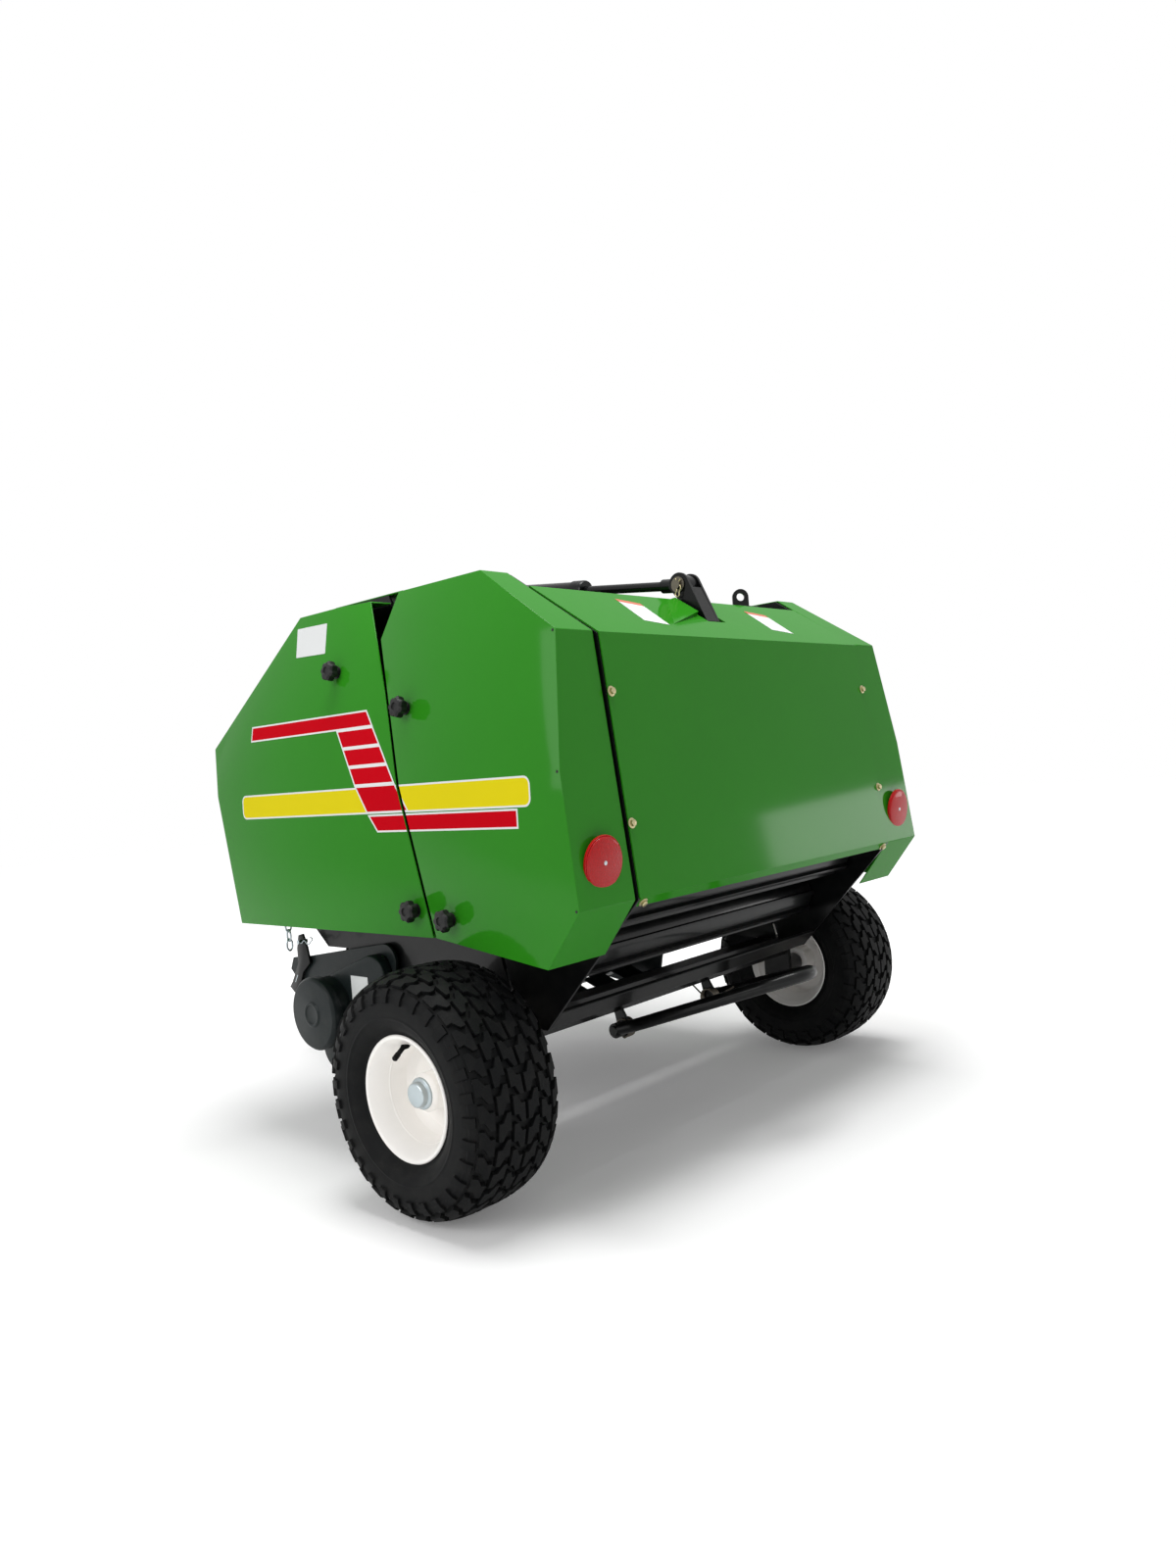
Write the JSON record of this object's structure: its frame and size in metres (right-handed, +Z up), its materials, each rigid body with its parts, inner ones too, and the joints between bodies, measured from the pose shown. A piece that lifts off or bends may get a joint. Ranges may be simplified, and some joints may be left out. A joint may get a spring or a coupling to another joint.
{
  "type": "round baler",
  "caption": "Small trailed round baler with a hinged tailgate over a chamber of ribbed rollers, folded side covers, a pickup, two turf tyres and a parking jack.",
  "frame": {"origin": "on the ground, under the middle of the machine's length and width", "axes": "+X to the machine's right, +Y forwards towards the hitch, +Z up"},
  "size_m": [1.485, 1.675, 1.269],
  "materials": {
    "green_paint": "glossy green enamel",
    "black_paint": "glossy black enamel",
    "anthracite_paint": "satin anthracite enamel",
    "cream_paint": "glossy cream enamel",
    "tyre_rubber": "matt black rubber",
    "bright_steel": "bright zinc and ground steel",
    "red_lens": "red reflective plastic"
  },
  "bodies": {
    "chassis": {"side_wall_right": "black_paint", "side_wall_left": "black_paint", "front_cover_right": "green_paint", "front_cover_left": "green_paint", "hood": "green_paint", "top_beam": "black_paint", "twine_box": "black_paint", "axle_beam": "black_paint", "front_crossbeam": "black_paint", "drawbar": "black_paint", "hitch_clevis": "black_paint", "gearbox": "anthracite_paint", "jack_sleeve": "black_paint"},
    "tailgate": {"tailgate_side_right": "black_paint", "tailgate_side_left": "black_paint", "rear_cover_right": "green_paint", "rear_cover_left": "green_paint", "tailgate_panel": "green_paint", "tailgate_beam": "black_paint", "tailgate_crossbar": "black_paint", "rod_bracket": "black_paint", "lifting_eye": "black_paint", "reflector_right": "red_lens", "reflector_left": "red_lens"},
    "wheel_right": {"rim_right": "cream_paint", "tyre_right": "tyre_rubber"},
    "wheel_left": {"rim_left": "cream_paint", "tyre_left": "tyre_rubber"},
    "pickup": {"pickup_side_right": "anthracite_paint", "pickup_side_left": "anthracite_paint", "pickup_bands": "anthracite_paint", "feed_deck": "anthracite_paint", "crop_guard": "black_paint", "pickup_drive_cover": "anthracite_paint"},
    "reel": {"pickup_reel": "anthracite_paint", "tine_bar_1": "anthracite_paint", "tine_bar_2": "anthracite_paint", "tine_bar_3": "anthracite_paint", "tine_bar_4": "anthracite_paint"},
    "cylinder_barrel": {"cylinder_barrel": "black_paint"},
    "cylinder_rod": {"cylinder_rod": "black_paint"},
    "bale_ramp": {"bale_ramp": "black_paint"},
    "jack_leg": {"jack_leg": "bright_steel"},
    "input_shaft": {"input_shaft": "bright_steel"},
    "twine_lid": {"twine_lid": "green_paint"},
    "front_roller_1": {"front_roller_1": "black_paint"},
    "front_roller_2": {"front_roller_2": "black_paint"},
    "front_roller_3": {"front_roller_3": "black_paint"},
    "front_roller_4": {"front_roller_4": "black_paint"},
    "floor_roller": {"floor_roller": "black_paint"},
    "tailgate_roller_1": {"tailgate_roller_1": "black_paint"},
    "tailgate_roller_2": {"tailgate_roller_2": "black_paint"},
    "tailgate_roller_3": {"tailgate_roller_3": "black_paint"},
    "tailgate_roller_4": {"tailgate_roller_4": "black_paint"},
    "tailgate_roller_5": {"tailgate_roller_5": "black_paint"},
    "tailgate_roller_6": {"tailgate_roller_6": "black_paint"},
    "tailgate_roller_7": {"tailgate_roller_7": "black_paint"}
  },
  "joints": [
    {"name": "tailgate_hinge", "type": "hinge", "parent": "chassis", "child": "tailgate", "pos_m": [0, -0.23125, 1.092], "axis": [-1, 0, 0], "range_deg": [0, 55]},
    {"name": "wheel_right_spin", "type": "hinge", "parent": "chassis", "child": "wheel_right", "pos_m": [0.641, -0.42225, 0.2285], "axis": [1, 0, 0], "continuous": true},
    {"name": "wheel_left_spin", "type": "hinge", "parent": "chassis", "child": "wheel_left", "pos_m": [-0.641, -0.42225, 0.2285], "axis": [1, 0, 0], "continuous": true},
    {"name": "pickup_lift", "type": "hinge", "parent": "chassis", "child": "pickup", "pos_m": [0, -0.06225, 0.4085], "axis": [1, 0, 0], "range_deg": [-22, 6]},
    {"name": "reel_spin", "type": "hinge", "parent": "pickup", "child": "reel", "pos_m": [0, 0.11475, 0.3], "axis": [1, 0, 0], "continuous": true},
    {"name": "cylinder_pivot", "type": "hinge", "parent": "chassis", "child": "cylinder_barrel", "pos_m": [0, -0.01025, 1.245], "axis": [-1, 0, 0], "range_deg": [0, 34.74]},
    {"name": "cylinder_stroke", "type": "slide", "parent": "cylinder_barrel", "child": "cylinder_rod", "axis": [0, 0.9923, 0.124], "range_m": [0, 0.17812]},
    {"name": "bale_ramp_hinge", "type": "hinge", "parent": "chassis", "child": "bale_ramp", "pos_m": [0, -0.46025, 0.23], "axis": [1, 0, 0], "range_deg": [0, 25], "stiffness_Nm_per_rad": 25, "springref_deg": -45.84},
    {"name": "jack_slide", "type": "slide", "parent": "chassis", "child": "jack_leg", "axis": [0, 0, 1], "range_m": [0, 0.2]},
    {"name": "input_shaft_spin", "type": "hinge", "parent": "chassis", "child": "input_shaft", "pos_m": [0, 0.25775, 0.7303], "axis": [0, 1, 0], "continuous": true},
    {"name": "twine_lid_hinge", "type": "hinge", "parent": "chassis", "child": "twine_lid", "pos_m": [0, 0.04775, 1.1635], "axis": [1, 0, 0], "range_deg": [0, 85]},
    {"name": "front_roller_1_spin", "type": "hinge", "parent": "chassis", "child": "front_roller_1", "pos_m": [0, -0.15963, 1.03553], "axis": [1, 0, 0], "continuous": true},
    {"name": "front_roller_2_spin", "type": "hinge", "parent": "chassis", "child": "front_roller_2", "pos_m": [0, -0.04714, 0.917], "axis": [1, 0, 0], "continuous": true},
    {"name": "front_roller_3_spin", "type": "hinge", "parent": "chassis", "child": "front_roller_3", "pos_m": [0, -0.00073, 0.76032], "axis": [1, 0, 0], "continuous": true},
    {"name": "front_roller_4_spin", "type": "hinge", "parent": "chassis", "child": "front_roller_4", "pos_m": [0, -0.03051, 0.59964], "axis": [1, 0, 0], "continuous": true},
    {"name": "floor_roller_spin", "type": "hinge", "parent": "chassis", "child": "floor_roller", "pos_m": [0, -0.31975, 0.39333], "axis": [1, 0, 0], "continuous": true},
    {"name": "tailgate_roller_1_spin", "type": "hinge", "parent": "tailgate", "child": "tailgate_roller_1", "pos_m": [0, -0.32584, 1.09115], "axis": [1, 0, 0], "continuous": true},
    {"name": "tailgate_roller_2_spin", "type": "hinge", "parent": "tailgate", "child": "tailgate_roller_2", "pos_m": [0, -0.47947, 1.06727], "axis": [1, 0, 0], "continuous": true},
    {"name": "tailgate_roller_3_spin", "type": "hinge", "parent": "tailgate", "child": "tailgate_roller_3", "pos_m": [0, -0.60761, 0.97921], "axis": [1, 0, 0], "continuous": true},
    {"name": "tailgate_roller_4_spin", "type": "hinge", "parent": "tailgate", "child": "tailgate_roller_4", "pos_m": [0, -0.68496, 0.84433], "axis": [1, 0, 0], "continuous": true},
    {"name": "tailgate_roller_5_spin", "type": "hinge", "parent": "tailgate", "child": "tailgate_roller_5", "pos_m": [0, -0.69625, 0.68926], "axis": [1, 0, 0], "continuous": true},
    {"name": "tailgate_roller_6_spin", "type": "hinge", "parent": "tailgate", "child": "tailgate_roller_6", "pos_m": [0, -0.63927, 0.5446], "axis": [1, 0, 0], "continuous": true},
    {"name": "tailgate_roller_7_spin", "type": "hinge", "parent": "tailgate", "child": "tailgate_roller_7", "pos_m": [0, -0.52525, 0.43889], "axis": [1, 0, 0], "continuous": true}
  ],
  "couplings": [
    {"joint": "cylinder_pivot", "follows": "tailgate_hinge", "ratio": 0.63162},
    {"joint": "cylinder_stroke", "follows": "tailgate_hinge", "m_per_rad": 0.18555},
    {"joint": "front_roller_2_spin", "follows": "front_roller_1_spin", "ratio": 1},
    {"joint": "front_roller_3_spin", "follows": "front_roller_1_spin", "ratio": 1},
    {"joint": "front_roller_4_spin", "follows": "front_roller_1_spin", "ratio": 1},
    {"joint": "floor_roller_spin", "follows": "front_roller_1_spin", "ratio": 1},
    {"joint": "tailgate_roller_1_spin", "follows": "front_roller_1_spin", "ratio": 1},
    {"joint": "tailgate_roller_2_spin", "follows": "front_roller_1_spin", "ratio": 1},
    {"joint": "tailgate_roller_3_spin", "follows": "front_roller_1_spin", "ratio": 1},
    {"joint": "tailgate_roller_4_spin", "follows": "front_roller_1_spin", "ratio": 1},
    {"joint": "tailgate_roller_5_spin", "follows": "front_roller_1_spin", "ratio": 1},
    {"joint": "tailgate_roller_6_spin", "follows": "front_roller_1_spin", "ratio": 1},
    {"joint": "tailgate_roller_7_spin", "follows": "front_roller_1_spin", "ratio": 1},
    {"joint": "reel_spin", "follows": "front_roller_1_spin", "ratio": 1},
    {"joint": "input_shaft_spin", "follows": "front_roller_1_spin", "ratio": 2}
  ]
}
